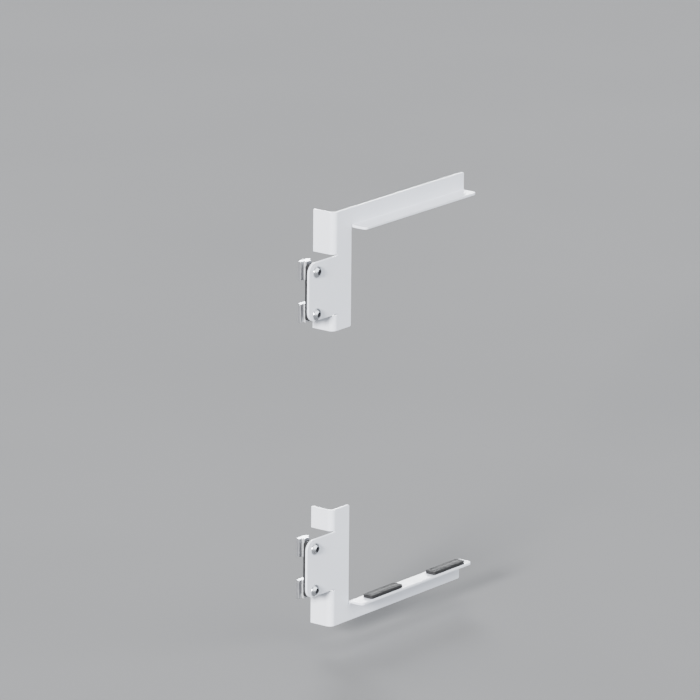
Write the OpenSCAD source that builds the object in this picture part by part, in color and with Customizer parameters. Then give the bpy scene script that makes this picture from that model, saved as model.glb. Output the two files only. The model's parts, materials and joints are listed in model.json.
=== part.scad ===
// Holder for an upright desktop computer on a slotted desk column.
// Two bent steel brackets hook round the column's rear edge and clamp to its side slot.
// The computer stands on the lower arm, and the upper arm keeps its top in place.
// Frame: +X points away from the column's side, +Y to the computer, +Z up.
// Origin: on the column's side face, on the slot's centre line, midway between the lower screws.

/* [Sheet] */
// Thickness of the bent sheet
sheet = 3; // [2:0.5:3.5]
// Inside radius of the bend between the upright and its return
corner_bend_r = 4; // [2:0.5:5]
// Inside radius of the bend between an arm and its flange
flange_bend_r = 1.5; // [1:0.5:3]
// Width of the relief cuts where a bend ends
relief = 1.5; // [1:0.5:3]
// Radius on the free corners of the plates
corner_r = 2; // [1:0.5:3]

/* [Tab] */
// Height of the tab that carries the screws
tab_h = 69; // [66:1:84]
// Distance from the slot's centre line to the tab's front edge
tab_front = 14.5; // [13:0.5:20]
// Radius of the tab's two front corners
tab_corner_r = 12; // [6:1:14]
// How far the middle of the screw pair sits below the middle of the tab
screw_drop = 1.8; // [0:0.2:3]
// Height of the lower tab's bottom edge above the lower flange
tab_gap_lower = 20.5; // [14:0.5:30]
// Depth of the upper tab's top edge below the upper flange
tab_gap_upper = 27.5; // [14:0.5:30]

/* [Upright] */
// Distance from the slot's centre line to the return's front face
return_y = 31; // [26:1:40]
// Width of the upright, over the bend
upright_w = 33.5; // [26:0.5:45]
// Length of the upright from the flange to its free end
upright_h = 116.5; // [110:0.5:150]
// Depth of the return behind the column, from the upright's outer face
return_d = 30; // [20:1:45]

/* [Arm] */
// Length of the arm behind the upright
arm_len = 214; // [160:2:260]
// Height of the arm, from its flange's bearing face to its outer edge
arm_h = 24; // [18:1:36]
// Width of the flange, from the arm's outer face
flange_w = 19; // [14:1:40]
// Radius of the flange's free corners
flange_corner_r = 5; // [2:1:8]
// Clear height between the two flanges
bay_h = 446; // [360:1:500]

/* [Fasteners] */
// Gap between the column and the brackets, filled by the spacers
standoff = 8; // [6:0.5:12]
// Distance between the two screws of a bracket
screw_pitch = 50; // [48:1:54]
// Diameter of the screw's thread
screw_d = 7.9; // [5.9:0.1:7.9]
// Diameter of the clearance holes
hole_d = 9; // [8.4:0.1:9.4]
// Length of the screws under the head
screw_len = 20; // [18:1:22]
// Width of the column's slot that the nuts fit
slot_w = 10; // [8.2:0.1:10.4]

/* [Pads] */
// Thickness of the rubber pads on the lower flange
pad_t = 4; // [2:0.5:6]
// Length of one pad
pad_len = 60; // [30:1:70]
// Width of a pad
pad_w = 14; // [8:1:15]

/* [Hidden] */
$fn = 96;

eps = 0.01;
powder_coat = [0.87, 0.88, 0.89];
zinc = [0.72, 0.73, 0.75];
nylon = [0.16, 0.16, 0.17];
rubber = [0.09, 0.09, 0.10];

// Bend sizes
corner_out_r = corner_bend_r + sheet;
flange_out_r = flange_bend_r + sheet;

// Planes of the bracket
plate_in_x = standoff;
plate_out_x = standoff + sheet;
return_x = plate_out_x - return_d;
upright_rear_y = return_y + upright_w;
arm_end_y = upright_rear_y + arm_len;
flange_front_y = upright_rear_y + relief;
flange_out_x = plate_out_x + flange_w;

// Heights: the lower screw pair is centred on the origin
lower_flange_z = -(tab_gap_lower + tab_h / 2 - screw_drop);
upper_flange_z = lower_flange_z + bay_h;
upper_pair_z = upper_flange_z - tab_gap_upper - tab_h / 2 - screw_drop;

// Button-head screw sizes
head_d = 14;
head_h = 4.4;
head_rim_h = 0.9;
socket_af = 5;
socket_depth = 2.8;
tip_chamfer = 1;

// Slot nut sizes
nut_gap = 0.5;
nut_lip = 4.5;
nut_wing_w = 19;
nut_wing_t = 5.5;
nut_len = 22;
nut_chamfer = 2.5;
nut_bore_d = 8;

spacer_w = 16;
spacer_r = 4;
pad_r = 3;
pad_front_gap = 20;
pad_rear_gap = 12;
pad_x = plate_out_x + flange_w / 2 + 1;

// Lays a flat outline of (Y, Z) points out as a plate that is t thick and starts at x
module plate_yz(x, t) {
    translate([x, 0, 0]) rotate([90, 0, 90]) linear_extrude(t) children();
}

// What rounding takes off a square corner at the origin
module corner_waste(r) {
    difference() {
        translate([-eps, -eps]) square(r + eps);
        translate([r, r]) circle(r);
    }
}

// Rectangle from corner a to corner b with a radius for each corner, in the order
// low-low, high-low, high-high, low-high
module corner_rect(a, b, radii) {
    corners = [a, [b.x, a.y], b, [a.x, b.y]];
    difference() {
        translate(a) square(b - a);
        for (i = [0:3]) if (radii[i] > 0) translate(corners[i]) rotate(90 * i) corner_waste(radii[i]);
    }
}

// Quarter of a bend's ring about its own centre, in the quadrant that quarter turns to
module bend_quarter(in_r, turn) {
    rotate(turn) intersection() {
        difference() {
            circle(in_r + sheet);
            circle(in_r);
        }
        square(in_r + sheet + 1);
    }
}

// Section of the return and its bend, in (X, Y)
module return_section() {
    bend_x = plate_out_x - corner_out_r;
    translate([return_x, return_y]) square([bend_x - return_x, sheet]);
    translate([bend_x, return_y + corner_out_r]) bend_quarter(corner_bend_r, -90);
}

// Section of the flange's bend, in (X, Z)
module flange_bend_section() {
    translate([plate_out_x + flange_bend_r, -flange_out_r]) bend_quarter(flange_bend_r, 90);
}

// Bracket with its flange's bearing face at z = 0, its arm below and its upright above.
// tab_gap is the distance from that face to the tab, and pair_z is the screw pair's middle.
module bracket(tab_gap, pair_z) {
    tab_top = tab_gap + tab_h;
    flat_y = return_y + corner_out_r;
    union() {
        plate_yz(plate_in_x, sheet) difference() {
            union() {
                corner_rect([flat_y, -arm_h], [upright_rear_y, upright_h], [0, 0, corner_r, 0]);
                corner_rect([flat_y, -arm_h], [arm_end_y, -flange_out_r], [0, corner_r, 0, 0]);
                corner_rect([-tab_front, tab_gap], [flat_y + 1, tab_top],
                            [tab_corner_r, 0, 0, tab_corner_r]);
            }
            for (side = [-1, 1])
                translate([0, pair_z + side * screw_pitch / 2]) circle(d = hole_d);
        }
        translate([0, 0, -arm_h]) linear_extrude(arm_h + tab_gap - relief) return_section();
        translate([0, 0, tab_top + relief])
            linear_extrude(upright_h - tab_top - relief) return_section();
        translate([0, arm_end_y, 0]) rotate([90, 0, 0])
            linear_extrude(arm_end_y - flange_front_y) flange_bend_section();
        translate([0, 0, -sheet]) linear_extrude(sheet)
            corner_rect([plate_out_x + flange_bend_r, flange_front_y], [flange_out_x, arm_end_y],
                        [0, flange_corner_r, flange_corner_r, 0]);
    }
}

// Block between the column and a bracket's tab, centred on its screw pair
module spacer() {
    half_w = spacer_w / 2;
    half_h = screw_pitch / 2 + half_w;
    plate_yz(0, standoff) difference() {
        corner_rect([-half_w, -half_h], [half_w, half_h], [spacer_r, spacer_r, spacer_r, spacer_r]);
        for (side = [-1, 1]) translate([0, side * screw_pitch / 2]) circle(d = hole_d);
    }
}

// Button-head screw along X, with the underside of its head at x = 0
module screw() {
    dome_drop = head_h - head_rim_h;
    dome_r = (pow(head_d / 2, 2) + pow(dome_drop, 2)) / (2 * dome_drop);
    rotate([0, 90, 0]) {
        difference() {
            intersection() {
                cylinder(d = head_d, h = head_h);
                translate([0, 0, head_h - dome_r]) sphere(dome_r);
            }
            translate([0, 0, head_h - socket_depth])
                cylinder(d = socket_af / cos(30), h = socket_depth + 1, $fn = 6);
        }
        translate([0, 0, tip_chamfer - screw_len])
            cylinder(d = screw_d, h = screw_len - tip_chamfer + eps);
        translate([0, 0, -screw_len])
            cylinder(d1 = screw_d - 2 * tip_chamfer, d2 = screw_d, h = tip_chamfer);
    }
}

// Nut for the column's slot, with the column's side face at x = 0
module slot_nut() {
    neck_w = slot_w - 0.2;
    wing_x = -nut_lip;
    back_x = wing_x - nut_wing_t;
    difference() {
        translate([0, 0, -nut_len / 2]) linear_extrude(nut_len) polygon([
            [-nut_gap, -neck_w / 2], [wing_x, -neck_w / 2], [wing_x, -nut_wing_w / 2],
            [back_x + nut_chamfer, -nut_wing_w / 2], [back_x, nut_chamfer - nut_wing_w / 2],
            [back_x, nut_wing_w / 2 - nut_chamfer], [back_x + nut_chamfer, nut_wing_w / 2],
            [wing_x, nut_wing_w / 2], [wing_x, neck_w / 2], [-nut_gap, neck_w / 2]
        ]);
        translate([back_x - 1, 0, 0]) rotate([0, 90, 0])
            cylinder(d = nut_bore_d, h = nut_lip + nut_wing_t + 2);
    }
}

// Rubber pad on the lower flange, from y
module pad(y) {
    color(rubber) translate([pad_x - pad_w / 2, y, lower_flange_z]) linear_extrude(pad_t)
        corner_rect([0, 0], [pad_w, pad_len], [pad_r, pad_r, pad_r, pad_r]);
}

// Places a fastener at the bottom (-1) or top (1) screw of the pair centred at pair_z
module at_screw(pair_z, side) {
    translate([0, 0, pair_z + side * screw_pitch / 2]) children();
}

module placed_screw(pair_z, side) {
    color(zinc) at_screw(pair_z, side) translate([plate_out_x, 0, 0]) screw();
}

module placed_nut(pair_z, side) {
    color(zinc) at_screw(pair_z, side) slot_nut();
}

module placed_spacer(pair_z) {
    color(nylon) translate([0, 0, pair_z]) spacer();
}

module lower_bracket() {
    color(powder_coat) translate([0, 0, lower_flange_z])
        bracket(tab_gap_lower, tab_gap_lower + tab_h / 2 - screw_drop);
}

module upper_bracket() {
    color(powder_coat) translate([0, 0, upper_flange_z]) mirror([0, 0, 1])
        bracket(tab_gap_upper, tab_gap_upper + tab_h / 2 + screw_drop);
}

lower_bracket();
upper_bracket();
placed_spacer(0);  // lower_spacer
placed_spacer(upper_pair_z);  // upper_spacer
placed_screw(0, -1);  // lower_screw_bottom
placed_screw(0, 1);  // lower_screw_top
placed_screw(upper_pair_z, -1);  // upper_screw_bottom
placed_screw(upper_pair_z, 1);  // upper_screw_top
placed_nut(0, -1);  // lower_nut_bottom
placed_nut(0, 1);  // lower_nut_top
placed_nut(upper_pair_z, -1);  // upper_nut_bottom
placed_nut(upper_pair_z, 1);  // upper_nut_top
pad(flange_front_y + pad_front_gap);  // pad_front
pad(arm_end_y - pad_rear_gap - pad_len);  // pad_rear
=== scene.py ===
"""Looks of the computer holder: two bent steel brackets, clamped to a desk column's slot.

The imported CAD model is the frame, and a finer piece stands for each of its nodes. The brackets
and nuts are the nodes' own shapes with rounded edges. The screws, spacers and pads are made anew.
+X points away from the column, +Y to the computer and +Z up. Everything is in metres.
"""

import json
import math

import bmesh
import bpy
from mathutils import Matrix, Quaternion, Vector

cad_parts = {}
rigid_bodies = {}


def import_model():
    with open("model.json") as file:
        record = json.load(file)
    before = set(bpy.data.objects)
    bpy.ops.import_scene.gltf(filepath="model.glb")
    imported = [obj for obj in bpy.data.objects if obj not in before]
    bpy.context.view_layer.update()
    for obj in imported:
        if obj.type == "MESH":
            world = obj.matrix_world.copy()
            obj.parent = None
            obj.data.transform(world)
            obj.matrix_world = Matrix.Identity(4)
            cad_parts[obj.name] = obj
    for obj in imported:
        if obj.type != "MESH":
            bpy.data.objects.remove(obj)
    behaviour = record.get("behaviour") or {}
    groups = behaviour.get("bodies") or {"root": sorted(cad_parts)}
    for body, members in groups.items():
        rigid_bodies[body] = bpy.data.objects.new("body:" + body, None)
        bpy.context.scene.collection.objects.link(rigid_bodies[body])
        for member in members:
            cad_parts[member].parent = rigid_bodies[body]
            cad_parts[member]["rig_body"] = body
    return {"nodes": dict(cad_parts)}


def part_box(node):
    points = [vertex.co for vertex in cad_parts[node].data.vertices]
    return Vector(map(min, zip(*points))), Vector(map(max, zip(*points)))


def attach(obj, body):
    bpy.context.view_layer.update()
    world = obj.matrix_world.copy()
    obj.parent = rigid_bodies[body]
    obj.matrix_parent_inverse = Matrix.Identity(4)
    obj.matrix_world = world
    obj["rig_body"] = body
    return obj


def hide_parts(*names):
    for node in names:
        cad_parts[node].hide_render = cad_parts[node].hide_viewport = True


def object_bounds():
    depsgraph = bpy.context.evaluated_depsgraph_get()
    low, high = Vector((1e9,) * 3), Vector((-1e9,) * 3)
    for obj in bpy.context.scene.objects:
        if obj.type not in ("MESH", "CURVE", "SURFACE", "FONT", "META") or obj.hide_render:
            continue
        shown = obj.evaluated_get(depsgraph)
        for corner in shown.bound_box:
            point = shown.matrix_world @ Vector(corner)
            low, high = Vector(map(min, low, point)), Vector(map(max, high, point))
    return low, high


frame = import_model()
cad_low, cad_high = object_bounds()

TURN = 2 * math.pi

# Camera: the photograph's viewing angle, from far off with a long lens
CAMERA_AZIMUTH = 37.4
CAMERA_ELEVATION = 15.5
CAMERA_ROLL = 0.48
CAMERA_DISTANCE = 8.55
CAMERA_LENS = 385.5
CAMERA_SENSOR = 36
CAMERA_NEAR = 0.5
CAMERA_FAR = 60
CAMERA_TARGET = Vector((0.0353, 0.0312, 0.2595))

# Light: a faint cool sky and four softboxes, each with its side, width, strength and colour
SKY_COLOUR = (0.90, 0.945, 1.0, 1)
SKY_STRENGTH = 0.3
SOFTBOXES = (
    ("key", (0.8, -3.4, 1.15), 14, 13.0, (1.0, 0.99, 0.98)),
    ("side", (3.2, 0.3, 0.75), 80, 5.6, (0.94, 0.97, 1.0)),
    ("back", (-3.0, 2.8, 1.5), 20, 5.8, (0.96, 0.98, 1.0)),
    ("overhead", (-0.2, 0.4, 2.4), 60, 2.1, (1.0, 1.0, 1.0)),
)

# The holder hangs on its column, a little above the floor
FLOOR_GAP = 0.025
FLOOR_SIZE = 60
FLOOR_COLOURS = ((0.160, 0.162, 0.166), (0.170, 0.172, 0.176))

# Button-head screws, M8 by 20
SCREW_LENGTH = 0.020
THREAD_RADIUS = 0.00395
THREAD_ROOT = 0.0034
THREAD_PITCH = 0.00125
THREAD_START = 0.0012
# Steps along one pitch of the thread
THREAD_STEPS = 8
# Tooth profile in tooth heights: where its flanks would meet, and how far they fall over a pitch
TOOTH_PEAK = 1.35
TOOTH_FALL = 3.2
TIP_CHAMFER = 0.001
HEAD_RADIUS = 0.007
HEAD_HEIGHT = 0.0044
HEAD_RIM = 0.0009
HEAD_EDGE = 0.0002
DOME_STEPS = 9
SOCKET_WIDTH = 0.005
SOCKET_DEPTH = 0.0028
SOCKET_MOUTH = 0.0032
# Depth of the chamfer round the socket's mouth, as a share of its width
SOCKET_CHAMFER = 0.9
SOCKET_CONE = 0.0009
# Steps round a screw
SCREW_STEPS = 48
# How far the lower screw of a pair is turned, and how much more the upper one is, in radians
SCREW_TURN = 0.35
SCREW_TURN_MORE = 0.5
# Width of the darkened ring round a screw head: grime, and painted contact shade where the head
# meets the coat
SCREW_SHADE_RING = 0.0016

# Moulded spacers
SPACER_RADIUS = 0.004
SPACER_EDGE = 0.0005
SPACER_HOLE = 0.0045
SPACER_HOLE_EDGE = 0.0004
SCREW_PITCH = 0.050
POCKET_WIDTH = 0.009
POCKET_HEIGHT = 0.026
POCKET_RADIUS = 0.002
POCKET_DEPTH = 0.004
POCKET_DRAFT = 0.0004

# Rubber pads
PAD_RADIUS = 0.003
PAD_EDGE = 0.0006
PAD_GROOVES = 2
PAD_GROOVE_WIDTH = 0.0009
PAD_GROOVE_DEPTH = 0.0006
PAD_GROOVE_STEPS = 4

# Roundings of the brackets' and nuts' outer edges, which are the convex ones sharper than CUT_ANGLE
SHEET_EDGE = 0.0006
NUT_EDGE = 0.0004
CUT_ANGLE = math.radians(30)
# A CAD mesh's facets within FLAT_ANGLE of each other become one face, and its points within
# WELD_DISTANCE one point
FLAT_ANGLE = math.radians(0.5)
WELD_DISTANCE = 1e-6

# Steps of a rounded edge, an outline's corner and a drilled hole
EDGE_STEPS = 3
CORNER_STEPS = 8
HOLE_STEPS = 48
# The least radius of an outline's corner
LEAST_RADIUS = 0.0005

# Edges sharper than these angles stay sharp in the shading
SCREW_SMOOTH = math.radians(32)
PLAIN_SMOOTH = math.radians(40)
PAD_SMOOTH = math.radians(50)

# Powder coat: its cloudy base colours, speckle, rub marks, and a darkened ring round each screw
# head that is grime and painted contact shade
COAT_COLOURS = ((0.606, 0.630, 0.690), (0.641, 0.663, 0.720))
COAT_SPECKLE = (0.56, 0.58, 0.63)
COAT_RUB = (0.50, 0.51, 0.53)
COAT_GRIME_AND_SHADE = (0.30, 0.30, 0.31)
GRIME_AND_SHADE_SHARE = 0.45

# The Mix node has several sockets of each name, so its colour sockets go by number
MIX_FIRST = 6
MIX_SECOND = 7
MIX_RESULT = 2


# ---------------------------------------------------------------- materials

def add_node(tree, kind, inputs=None, **settings):
    """Adds a shader node; an input is either a socket to link or a value."""
    node = tree.nodes.new(kind)
    for name, value in settings.items():
        setattr(node, name, value)
    for name, value in (inputs or {}).items():
        if isinstance(value, bpy.types.NodeSocket):
            tree.links.new(value, node.inputs[name])
        else:
            node.inputs[name].default_value = value
    return node


def new_material(name):
    """Returns a material with its node tree, its shader and the object's own coordinates."""
    material = bpy.data.materials.new(name)
    material.use_nodes = True
    tree = material.node_tree
    place = add_node(tree, "ShaderNodeTexCoord").outputs["Object"]
    return material, tree, tree.nodes["Principled BSDF"], place


def noise(tree, place, scale, detail, roughness=0.5):
    node = add_node(tree, "ShaderNodeTexNoise", {
        "Vector": place, "Scale": scale, "Detail": detail, "Roughness": roughness,
    })
    return node.outputs["Fac"]


def stretched(tree, place, stretch):
    node = add_node(tree, "ShaderNodeMapping", {"Vector": place, "Scale": stretch})
    return node.outputs["Vector"]


def maths(tree, operation, first, second):
    node = add_node(tree, "ShaderNodeMath", {0: first, 1: second}, operation=operation)
    return node.outputs["Value"]


def spread(tree, value, low, high):
    """Maps the middle of a noise's range to low..high."""
    node = add_node(tree, "ShaderNodeMapRange", {
        "Value": value, "From Min": 0.3, "From Max": 0.7, "To Min": low, "To Max": high,
    })
    return node.outputs["Result"]


def blend_colours(tree, factor, first, second):
    node = add_node(tree, "ShaderNodeMix", data_type="RGBA")
    tree.links.new(factor, node.inputs["Factor"])
    for number, value in ((MIX_FIRST, first), (MIX_SECOND, second)):
        if isinstance(value, bpy.types.NodeSocket):
            tree.links.new(value, node.inputs[number])
        else:
            node.inputs[number].default_value = (*value, 1)
    return node.outputs[MIX_RESULT]


def bump(tree, height, strength, distance, normal=None):
    inputs = {"Height": height, "Strength": strength, "Distance": distance}
    if normal is not None:
        inputs["Normal"] = normal
    return add_node(tree, "ShaderNodeBump", inputs).outputs["Normal"]


def screw_shade_rings(tree, place):
    """1 close round the screw heads and 0 beyond: where they press on the coat, a ring of grime and
    painted contact shade.
    """
    marks = None
    for node in frame["nodes"]:
        if "_screw_" not in node:
            continue
        low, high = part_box(node)
        centre = (low + high) / 2
        offset = add_node(tree, "ShaderNodeVectorMath", {0: place, 1: centre}, operation="SUBTRACT")
        flat = stretched(tree, offset.outputs["Vector"], (0, 1, 1))
        reach = add_node(tree, "ShaderNodeVectorMath", {0: flat}, operation="LENGTH")
        near = add_node(tree, "ShaderNodeMapRange", {
            "Value": reach.outputs["Value"],
            "From Min": HEAD_RADIUS,
            "From Max": HEAD_RADIUS + SCREW_SHADE_RING,
            "To Min": 1.0,
            "To Max": 0.0,
        }, interpolation_type="SMOOTHSTEP").outputs["Result"]
        marks = near if marks is None else maths(tree, "MAXIMUM", marks, near)
    return marks


def powder_coat():
    """Cool light grey powder coat: a satin skin with orange peel, faint clouding, rub marks, and
    grime with painted contact shade round the screw heads.
    """
    material, tree, shader, place = new_material("powder_coat_satin")
    clouds = spread(tree, noise(tree, place, scale=14, detail=3), low=0, high=1)
    colour = blend_colours(tree, clouds, *COAT_COLOURS)
    speckle = spread(tree, noise(tree, place, scale=1500, detail=1), low=0, high=0.35)
    colour = blend_colours(tree, speckle, colour, COAT_SPECKLE)
    along_arm = stretched(tree, place, (700, 9, 700))
    rubs = noise(tree, along_arm, scale=1, detail=4, roughness=0.6)
    rub_mask = add_node(tree, "ShaderNodeMapRange", {
        "Value": rubs, "From Min": 0.6, "From Max": 0.75, "To Min": 0.0, "To Max": 0.3,
    }).outputs["Result"]
    colour = blend_colours(tree, rub_mask, colour, COAT_RUB)
    # Darker ring round each screw head: grime, and painted contact shade where the head meets the
    # coat
    cloudy_shade_rings = maths(tree, "MULTIPLY", screw_shade_rings(tree, place), clouds)
    grime_and_shade = maths(tree, "MULTIPLY", cloudy_shade_rings, GRIME_AND_SHADE_SHARE)
    colour = blend_colours(tree, grime_and_shade, colour, COAT_GRIME_AND_SHADE)
    tree.links.new(colour, shader.inputs["Base Color"])
    satin = spread(tree, noise(tree, place, scale=90, detail=3), low=0.30, high=0.42)
    tree.links.new(satin, shader.inputs["Roughness"])
    peel = noise(tree, place, scale=520, detail=2)
    peel = bump(tree, peel, strength=0.45, distance=0.00015)
    grain = noise(tree, place, scale=2600, detail=2)
    grain = bump(tree, grain, strength=0.3, distance=0.00003, normal=peel)
    tree.links.new(grain, shader.inputs["Normal"])
    return material


def zinc(name, colours, roughness, lines):
    """Zinc-plated steel: lines is the scale of its tool or drawing marks along X, Y and Z."""
    material, tree, shader, place = new_material(name)
    stains = spread(tree, noise(tree, place, scale=260, detail=4), low=0, high=1)
    tree.links.new(blend_colours(tree, stains, *colours), shader.inputs["Base Color"])
    shader.inputs["Metallic"].default_value = 1
    polish = spread(tree, noise(tree, place, scale=900, detail=3), *roughness)
    tree.links.new(polish, shader.inputs["Roughness"])
    marks = noise(tree, stretched(tree, place, lines), scale=1, detail=3)
    marks = bump(tree, marks, strength=0.3, distance=0.00003)
    tree.links.new(marks, shader.inputs["Normal"])
    return material


def moulded(name, colours, roughness, specular, grain_scale, grain_height):
    """Moulded plastic or rubber with a fine eroded grain."""
    material, tree, shader, place = new_material(name)
    shade = spread(tree, noise(tree, place, scale=180, detail=4), low=0, high=1)
    tree.links.new(blend_colours(tree, shade, *colours), shader.inputs["Base Color"])
    dullness = spread(tree, noise(tree, place, scale=600, detail=2), *roughness)
    tree.links.new(dullness, shader.inputs["Roughness"])
    shader.inputs["Specular IOR Level"].default_value = specular
    grain = noise(tree, place, grain_scale, detail=2)
    grain = bump(tree, grain, strength=0.5, distance=grain_height)
    tree.links.new(grain, shader.inputs["Normal"])
    return material


def floor_paint():
    """Matt light grey paint with faint clouding."""
    material, tree, shader, place = new_material("floor_paint")
    clouds = spread(tree, noise(tree, place, scale=1.5, detail=2), low=0, high=1)
    tree.links.new(blend_colours(tree, clouds, *FLOOR_COLOURS), shader.inputs["Base Color"])
    shader.inputs["Roughness"].default_value = 0.9
    shader.inputs["Specular IOR Level"].default_value = 0
    return material


# ---------------------------------------------------------------- meshes

def skin(bm, rings):
    """Joins rings of equally many points with quads and returns their vertices."""
    made = [[bm.verts.new(point) for point in ring] for ring in rings]
    for first, second in zip(made, made[1:]):
        for i in range(len(first)):
            j = (i + 1) % len(first)
            bm.faces.new((first[i], first[j], second[j], second[i]))
    return made


def fan(bm, ring, centre):
    """Closes a ring of vertices with triangles to a centre point."""
    middle = bm.verts.new(centre)
    for i in range(len(ring)):
        bm.faces.new((ring[i], ring[(i + 1) % len(ring)], middle))


def ring_edges(bm, ring):
    return [bm.edges.get((ring[i], ring[(i + 1) % len(ring)])) for i in range(len(ring))]


def fill(bm, *rings):
    """Fills the flat area between an outer ring of vertices and the holes inside it."""
    edges = [edge for ring in rings for edge in ring_edges(bm, ring)]
    bmesh.ops.triangle_fill(bm, use_beauty=True, edges=edges)


def new_piece(bm, node, materials, smooth):
    """Makes a mesh piece that stands for its CAD node and rides on that node's body."""
    bmesh.ops.recalc_face_normals(bm, faces=bm.faces)
    mesh = bpy.data.meshes.new(node)
    bm.to_mesh(mesh)
    bm.free()
    for polygon in mesh.polygons:
        polygon.use_smooth = True
    mesh.set_sharp_from_angle(angle=smooth)
    for material in materials:
        mesh.materials.append(material)
    piece = bpy.data.objects.new(node + "_fine", mesh)
    bpy.context.collection.objects.link(piece)
    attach(piece, frame["nodes"][node]["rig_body"])
    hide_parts(node)
    return piece


def hex_radius(angle):
    """Distance from a hexagon's centre to its outline, for SOCKET_WIDTH across its flats."""
    sector = TURN / 6
    return SOCKET_WIDTH / 2 / math.cos((angle % sector) - sector / 2)


def dome_x(radius):
    """Height of the head's dome over its underside, at a distance from the axis."""
    drop = HEAD_HEIGHT - HEAD_RIM
    dome = (HEAD_RADIUS ** 2 + drop ** 2) / (2 * drop)
    return HEAD_HEIGHT - dome + math.sqrt(dome ** 2 - radius ** 2)


def thread_radius(x, angle):
    """Radius of the threaded shank at x below the head, on its helix."""
    if x > -THREAD_START:
        return THREAD_ROOT
    phase = (x / THREAD_PITCH + angle / TURN) % 1
    tooth = min(1, max(0, TOOTH_PEAK - TOOTH_FALL * abs(phase - 0.5)))
    crest = THREAD_ROOT + (THREAD_RADIUS - THREAD_ROOT) * tooth
    tip = THREAD_RADIUS - TIP_CHAMFER + (x + SCREW_LENGTH)
    return min(crest, tip)


def make_screw(node, turn, materials):
    """A button-head screw along X, turned about its axis, with a hexagon socket and a thread."""
    low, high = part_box(node)
    head = Vector((low.x + SCREW_LENGTH, (low.y + high.y) / 2, (low.z + high.z) / 2))
    angles = [TURN * i / SCREW_STEPS for i in range(SCREW_STEPS)]

    def ring(x_of, radius_of):
        points = []
        for angle in angles:
            radius = radius_of(angle)
            across = radius * math.cos(angle + turn)
            up = radius * math.sin(angle + turn)
            points.append(head + Vector((x_of(angle), across, up)))
        return points

    def round_ring(x, radius):
        return ring(lambda angle: x, lambda angle: radius)

    def chamfer_x(angle):
        return mouth_x - (SOCKET_MOUTH - hex_radius(angle)) * SOCKET_CHAMFER

    mouth_x = dome_x(SOCKET_MOUTH)
    floor_x = HEAD_HEIGHT - SOCKET_DEPTH
    socket = [
        ring(lambda angle: floor_x, hex_radius),
        ring(chamfer_x, hex_radius),
        round_ring(mouth_x, SOCKET_MOUTH),
    ]
    rings = []
    for i in range(DOME_STEPS + 1):
        radius = SOCKET_MOUTH + (HEAD_RADIUS - HEAD_EDGE - SOCKET_MOUTH) * i / DOME_STEPS
        rings.append(round_ring(dome_x(radius), radius))
    rings.append(round_ring(HEAD_RIM - HEAD_EDGE / 2, HEAD_RADIUS - HEAD_EDGE / 4))
    rings.append(round_ring(HEAD_RIM - HEAD_EDGE, HEAD_RADIUS))
    rings.append(round_ring(HEAD_EDGE, HEAD_RADIUS))
    rings.append(round_ring(0, HEAD_RADIUS - HEAD_EDGE))
    rings.append(round_ring(0, THREAD_RADIUS))
    rings.append(round_ring(-HEAD_EDGE, THREAD_ROOT))
    thread_length = SCREW_LENGTH - THREAD_START
    steps = round(thread_length / THREAD_PITCH * THREAD_STEPS)
    for i in range(steps + 1):
        x = -THREAD_START - thread_length * i / steps
        rings.append(ring(lambda angle: x, lambda angle: thread_radius(x, angle)))

    bm = bmesh.new()
    inside = skin(bm, socket)
    fan(bm, inside[0], head + Vector((floor_x - SOCKET_CONE, 0, 0)))
    # Socket walls, floor and mouth chamfer take the near-black second material: painted shade of
    # the recess
    for face in bm.faces:
        face.material_index = 1
    outside = skin(bm, rings)
    fan(bm, outside[-1], head + Vector((-SCREW_LENGTH, 0, 0)))
    bmesh.ops.remove_doubles(bm, verts=inside[-1] + outside[0], dist=WELD_DISTANCE)
    new_piece(bm, node, materials, SCREW_SMOOTH)


def rounded_outline(width, height, radius, inset=0):
    """Points of a rounded rectangle about the origin, drawn in by the inset all round."""
    width = width - 2 * inset
    height = height - 2 * inset
    radius = max(radius - inset, LEAST_RADIUS)
    points = []
    for quarter in range(4):
        sign_u = 1 if quarter in (0, 3) else -1
        sign_v = 1 if quarter in (0, 1) else -1
        for i in range(CORNER_STEPS + 1):
            angle = TURN / 4 * (quarter + i / CORNER_STEPS)
            points.append((
                sign_u * (width / 2 - radius) + radius * math.cos(angle),
                sign_v * (height / 2 - radius) + radius * math.sin(angle),
            ))
    return points


def circle_outline(radius):
    angles = [TURN * i / HOLE_STEPS for i in range(HOLE_STEPS)]
    return [(radius * math.cos(angle), radius * math.sin(angle)) for angle in angles]


def rounding(edge):
    """(inset, rise) pairs of a quarter-round edge, from its foot to its top."""
    quarter = TURN / 4
    angles = [quarter * i / EDGE_STEPS for i in range(EDGE_STEPS + 1)]
    return [(edge * (1 - math.cos(angle)), edge * (math.sin(angle) - 1)) for angle in angles]


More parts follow.
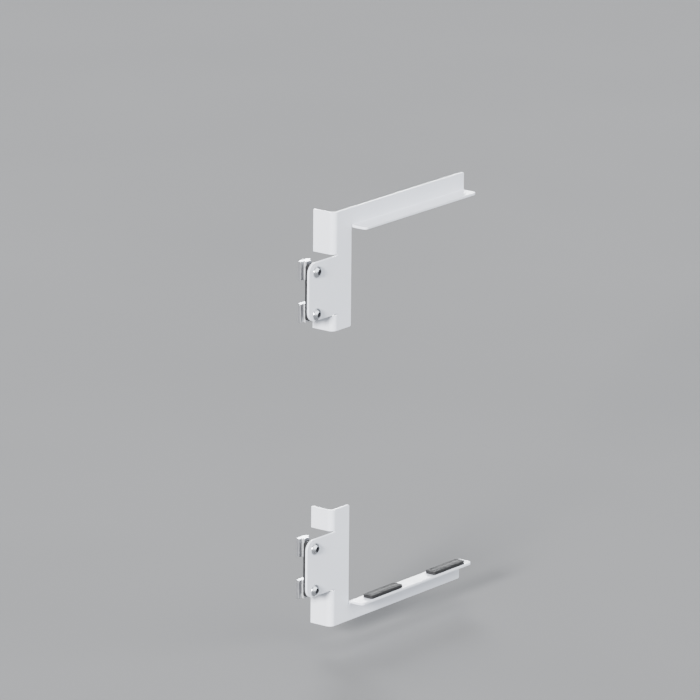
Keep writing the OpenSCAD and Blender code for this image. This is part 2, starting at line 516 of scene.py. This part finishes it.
def make_spacer(node, material):
    """A moulded block with two screw holes, cored out on the column's side between them."""
    low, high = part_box(node)
    centre = (low + high) / 2
    width, height = high.y - low.y, high.z - low.z

    def flat(x, outline, z=0):
        return [Vector((x, centre.y + u, centre.z + z + v)) for u, v in outline]

    def rim(x, way):
        """Rings of the rounded edge of the face at x, from its foot; way is 1 if it faces +X."""
        return [
            flat(x + way * rise, rounded_outline(width, height, SPACER_RADIUS, inset))
            for inset, rise in rounding(SPACER_EDGE)
        ]

    bm = bmesh.new()
    body = skin(bm, rim(high.x, 1)[::-1] + rim(low.x, -1))
    front, back = [body[0]], [body[-1]]
    for side in (-1, 1):
        z = side * SCREW_PITCH / 2
        bore = skin(bm, [
            flat(high.x, circle_outline(SPACER_HOLE + SPACER_HOLE_EDGE), z),
            flat(high.x - SPACER_HOLE_EDGE, circle_outline(SPACER_HOLE), z),
            flat(low.x + SPACER_HOLE_EDGE, circle_outline(SPACER_HOLE), z),
            flat(low.x, circle_outline(SPACER_HOLE + SPACER_HOLE_EDGE), z),
        ])
        front.append(bore[0])
        back.append(bore[-1])
    pocket = skin(bm, [
        flat(low.x, rounded_outline(POCKET_WIDTH, POCKET_HEIGHT, POCKET_RADIUS)),
        flat(
            low.x + POCKET_DEPTH,
            rounded_outline(POCKET_WIDTH, POCKET_HEIGHT, POCKET_RADIUS, POCKET_DRAFT),
        ),
    ])
    back.append(pocket[0])
    fill(bm, pocket[-1])
    fill(bm, *front)
    fill(bm, *back)
    new_piece(bm, node, [material], PLAIN_SMOOTH)


def make_pad(node, material):
    """A rubber pad on the flange, with grooves that run round its top."""
    low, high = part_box(node)
    centre = (low + high) / 2
    width, length = high.x - low.x, high.y - low.y

    def flat(z, inset):
        outline = rounded_outline(width, length, PAD_RADIUS, inset)
        return [Vector((centre.x + u, centre.y + v, z)) for u, v in outline]

    rings = [flat(low.z, 0)]
    rings += [flat(high.z + rise, inset) for inset, rise in rounding(PAD_EDGE)]
    land = (width / 2 - PAD_EDGE) / (PAD_GROOVES + 1)
    for groove in range(1, PAD_GROOVES + 1):
        middle = PAD_EDGE + land * groove - land / 3
        for step in range(PAD_GROOVE_STEPS + 1):
            share = step / PAD_GROOVE_STEPS
            depth = PAD_GROOVE_DEPTH * math.sin(share * TURN / 2)
            rings.append(flat(high.z - depth, middle + (share - 0.5) * PAD_GROOVE_WIDTH))
    bm = bmesh.new()
    made = skin(bm, rings)
    fill(bm, made[0])
    fill(bm, made[-1])
    new_piece(bm, node, [material], PAD_SMOOTH)


def make_rounded(node, material, edge):
    """The shape of a CAD node with its outer edges rounded, as cutting and coating leave them."""
    bm = bmesh.new()
    bm.from_mesh(frame["nodes"][node].data)
    bmesh.ops.remove_doubles(bm, verts=bm.verts, dist=WELD_DISTANCE)
    bmesh.ops.dissolve_limit(bm, angle_limit=FLAT_ANGLE, verts=bm.verts, edges=bm.edges)
    outer = [side for side in bm.edges if side.is_convex and side.calc_face_angle() > CUT_ANGLE]
    bmesh.ops.bevel(
        bm,
        geom=outer,
        offset=edge,
        offset_type="OFFSET",
        segments=EDGE_STEPS,
        profile=0.5,
        affect="EDGES",
    )
    piece = new_piece(bm, node, [material], PLAIN_SMOOTH)
    # The CAD mesh's own normals don't fit the rounded edges
    piece.data.attributes.remove(piece.data.attributes["custom_normal"])
    piece.modifiers.new("flat_faces", "WEIGHTED_NORMAL").keep_sharp = True


# ---------------------------------------------------------------- stage

def look_from(obj, place, target, roll=0):
    """Puts an object at a place with its -Z axis towards a target."""
    obj.location = place
    obj.rotation_mode = "QUATERNION"
    aim = (target - place).to_track_quat("-Z", "Y")
    obj.rotation_quaternion = aim @ Quaternion((0, 0, 1), roll)


def make_camera():
    azimuth = math.radians(CAMERA_AZIMUTH)
    elevation = math.radians(CAMERA_ELEVATION)
    roll = math.radians(CAMERA_ROLL)
    back = Vector((
        math.sin(azimuth) * math.cos(elevation),
        -math.cos(azimuth) * math.cos(elevation),
        math.sin(elevation),
    ))
    data = bpy.data.cameras.new("camera")
    data.lens = CAMERA_LENS
    data.sensor_width = CAMERA_SENSOR
    data.clip_start = CAMERA_NEAR
    data.clip_end = CAMERA_FAR
    camera = bpy.data.objects.new("camera", data)
    bpy.context.collection.objects.link(camera)
    look_from(camera, CAMERA_TARGET + back * CAMERA_DISTANCE, CAMERA_TARGET, roll)
    bpy.context.scene.camera = camera


def make_softbox(name, side, width, strength, colour):
    """A softbox far off on one side of the holder; width is its angle in degrees."""
    data = bpy.data.lights.new(name, "SUN")
    data.angle = math.radians(width)
    data.energy = strength
    data.color = colour
    light = bpy.data.objects.new(name, data)
    light.visible_camera = False
    bpy.context.collection.objects.link(light)
    centre = (cad_low + cad_high) / 2
    look_from(light, centre + Vector(side), centre)


def make_floor():
    bm = bmesh.new()
    bmesh.ops.create_grid(bm, x_segments=1, y_segments=1, size=FLOOR_SIZE / 2)
    mesh = bpy.data.meshes.new("floor")
    bm.to_mesh(mesh)
    bm.free()
    mesh.materials.append(floor_paint())
    floor = bpy.data.objects.new("floor", mesh)
    floor.location.z = cad_low.z - FLOOR_GAP
    bpy.context.collection.objects.link(floor)


def make_studio():
    world = bpy.data.worlds.new("studio")
    bpy.context.scene.world = world
    world.use_nodes = True
    sky = world.node_tree.nodes["Background"]
    sky.inputs["Color"].default_value = SKY_COLOUR
    sky.inputs["Strength"].default_value = SKY_STRENGTH
    for softbox in SOFTBOXES:
        make_softbox(*softbox)


# ---------------------------------------------------------------- the holder

coat = powder_coat()
screw_zinc = zinc(
    "screw_zinc",
    colours=((0.52, 0.54, 0.58), (0.64, 0.66, 0.69)),
    roughness=(0.2, 0.34),
    lines=(900, 900, 900),
)
# Near-black steel for the inside of the hexagon socket: painted shade of the recess
socket_painted_shade = zinc(
    "socket_painted_shade",
    colours=((0.045, 0.047, 0.053), (0.09, 0.092, 0.1)),
    roughness=(0.45, 0.6),
    lines=(900, 900, 900),
)
nut_zinc = zinc(
    "nut_zinc",
    colours=((0.45, 0.46, 0.49), (0.58, 0.59, 0.61)),
    roughness=(0.34, 0.5),
    lines=(1800, 1800, 60),
)
nylon = moulded(
    "black_nylon",
    colours=((0.008, 0.008, 0.009), (0.016, 0.016, 0.017)),
    roughness=(0.42, 0.55),
    specular=0.35,
    grain_scale=2200,
    grain_height=0.00004,
)
rubber = moulded(
    "black_rubber",
    colours=((0.009, 0.009, 0.01), (0.019, 0.019, 0.02)),
    roughness=(0.62, 0.8),
    specular=0.22,
    grain_scale=1600,
    grain_height=0.00006,
)

make_camera()
make_floor()
make_studio()

for holder in ("lower", "upper"):
    make_rounded(holder + "_bracket", coat, SHEET_EDGE)
    make_spacer(holder + "_spacer", nylon)
    for index, end in enumerate(("bottom", "top")):
        make_rounded(holder + "_nut_" + end, nut_zinc, NUT_EDGE)
        turn = SCREW_TURN + SCREW_TURN_MORE * index
        make_screw(holder + "_screw_" + end, turn, [screw_zinc, socket_painted_shade])
for pad in ("pad_front", "pad_rear"):
    make_pad(pad, rubber)
